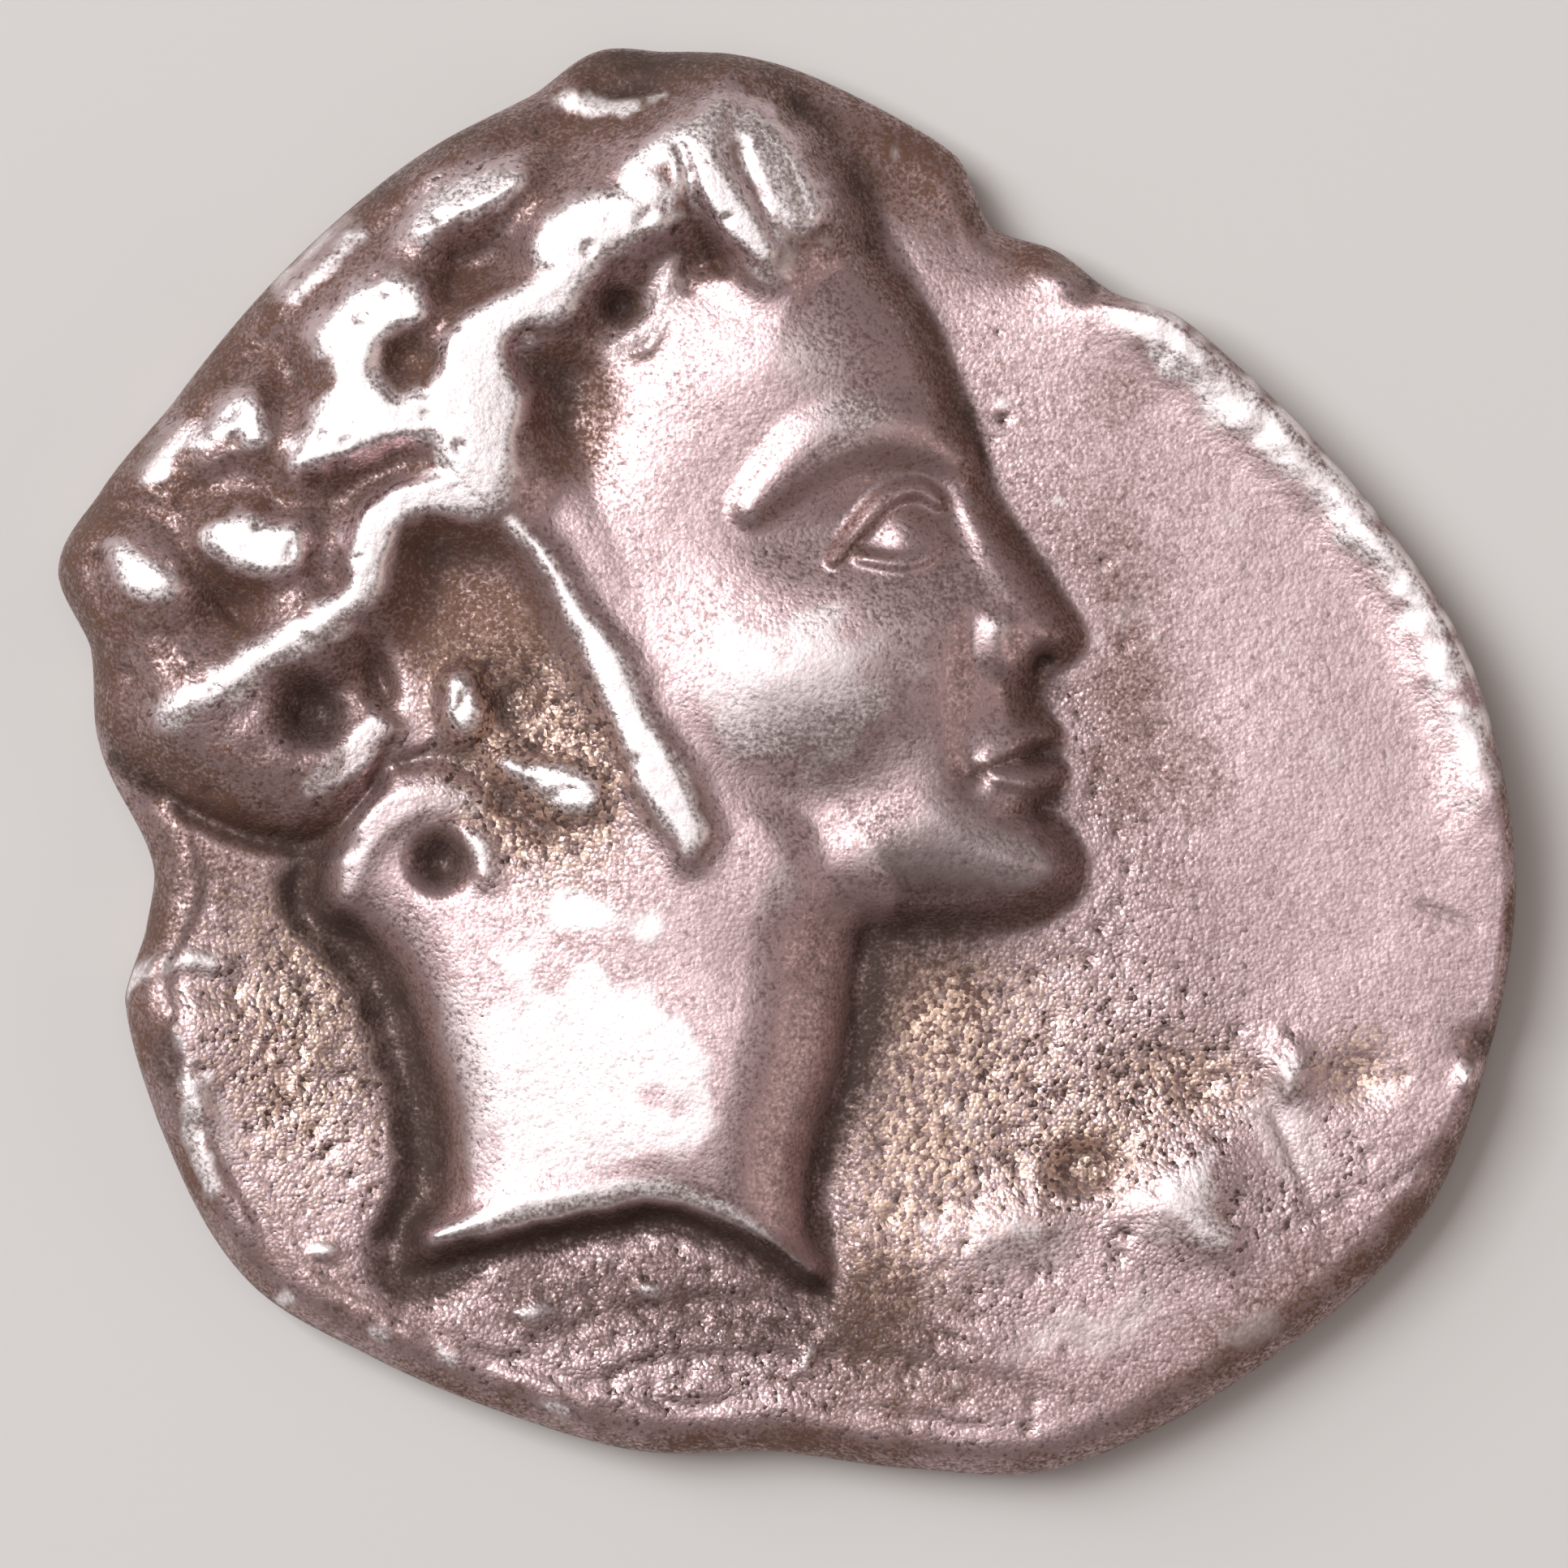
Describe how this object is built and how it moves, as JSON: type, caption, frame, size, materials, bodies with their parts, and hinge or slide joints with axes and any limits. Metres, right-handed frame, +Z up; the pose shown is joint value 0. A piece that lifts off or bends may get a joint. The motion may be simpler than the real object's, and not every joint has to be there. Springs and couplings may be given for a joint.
{
  "type": "silver obol coin",
  "caption": "Small hammered silver coin with an uneven outline, a relief head in profile on its face and a plain wheel underneath.",
  "frame": {"origin": "on the resting plane, under the middle of the coin's outline box", "axes": "+Z up out of the struck face, through the coin's thickness; +X along its longest side, the way the head looks; +Y towards the crown of the head"},
  "size_m": [0.01, 0.0098, 0.0016],
  "materials": {
    "silver": "worn, toned silver: bright on the crests, brown in the hollows"
  },
  "bodies": {
    "root": {"coin": "silver"}
  },
  "joints": []
}
